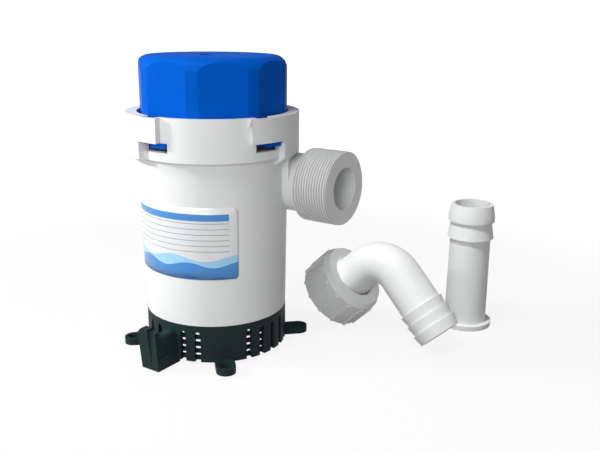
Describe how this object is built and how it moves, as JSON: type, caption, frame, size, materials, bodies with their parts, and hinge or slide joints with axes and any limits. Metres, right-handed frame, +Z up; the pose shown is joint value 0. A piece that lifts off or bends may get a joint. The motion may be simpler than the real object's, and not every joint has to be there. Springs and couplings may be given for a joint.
{
  "type": "bilge pump",
  "caption": "Cartridge bilge pump: tube housing with a threaded side outlet, blue octagonal twist-lock cap and slotted base, with loose union elbow and straight hose tail.",
  "frame": {"origin": "centre of the circle of the four mounting holes, on the underside of the base", "axes": "+Z up along the pump's axis, +X along the discharge branch, out of its mouth"},
  "size_m": [0.1447, 0.1474, 0.1357],
  "materials": {
    "white_plastic": "moulded, satin",
    "black_plastic": "moulded, satin",
    "label_film": "printed film",
    "blue_plastic": "moulded, semi-gloss",
    "black_rubber": "matt",
    "casing_plastic": "moulded, satin",
    "zinc_steel": "zinc plated",
    "bronze": "sintered",
    "ferrite": "ground",
    "bell_plastic": "moulded",
    "carbon": "pressed carbon",
    "spring_brass": "rolled",
    "shaft_steel": "ground",
    "core_steel": "varnished laminations",
    "copper_wire": "enamelled wire",
    "copper_bars": "turned copper",
    "impeller_plastic": "moulded"
  },
  "bodies": {
    "pump": {"pump_housing": "white_plastic", "strainer_base": "black_plastic", "rating_label": "label_film"},
    "cartridge": {"cartridge_cap": "blue_plastic", "cartridge_o_ring": "black_rubber", "cable_gland": "black_rubber", "motor_casing": "casing_plastic", "shaft_seal": "black_rubber", "motor_can": "zinc_steel", "lower_bush": "bronze", "upper_bush": "bronze", "magnet_north": "ferrite", "magnet_south": "ferrite", "brush_end_bell": "bell_plastic", "brush_one": "carbon", "brush_two": "carbon", "brush_arm_one": "spring_brass", "brush_arm_two": "spring_brass"},
    "rotor": {"motor_shaft": "shaft_steel", "armature_core": "core_steel", "armature_windings": "copper_wire", "commutator": "copper_bars", "impeller": "impeller_plastic", "impeller_clip": "shaft_steel"},
    "straight_fitting": {"straight_tail": "white_plastic"},
    "elbow_fitting": {"elbow_tail": "white_plastic", "union_gasket": "black_rubber"},
    "nut": {"union_nut": "white_plastic"}
  },
  "joints": [
    {"name": "cartridge_lock", "type": "hinge", "parent": "pump", "child": "cartridge", "pos_m": [0, 0, 0.0979], "axis": [0, 0, 1], "range_deg": [-8.6, 0]},
    {"name": "rotor_spin", "type": "hinge", "parent": "cartridge", "child": "rotor", "pos_m": [0, 0, 0.07], "axis": [0, 0, 1], "continuous": true},
    {"name": "straight_lift", "type": "slide", "parent": "pump", "child": "straight_fitting", "axis": [0, 0, 1], "range_m": [0, 0.08]},
    {"name": "elbow_lift", "type": "slide", "parent": "pump", "child": "elbow_fitting", "axis": [0.6, 0, 0.8], "range_m": [0, 0.08]},
    {"name": "nut_spin", "type": "hinge", "parent": "elbow_fitting", "child": "nut", "pos_m": [0.04198, 0.05208, 0.02138], "axis": [0.7205, 0.0074, 0.6934], "continuous": true}
  ]
}
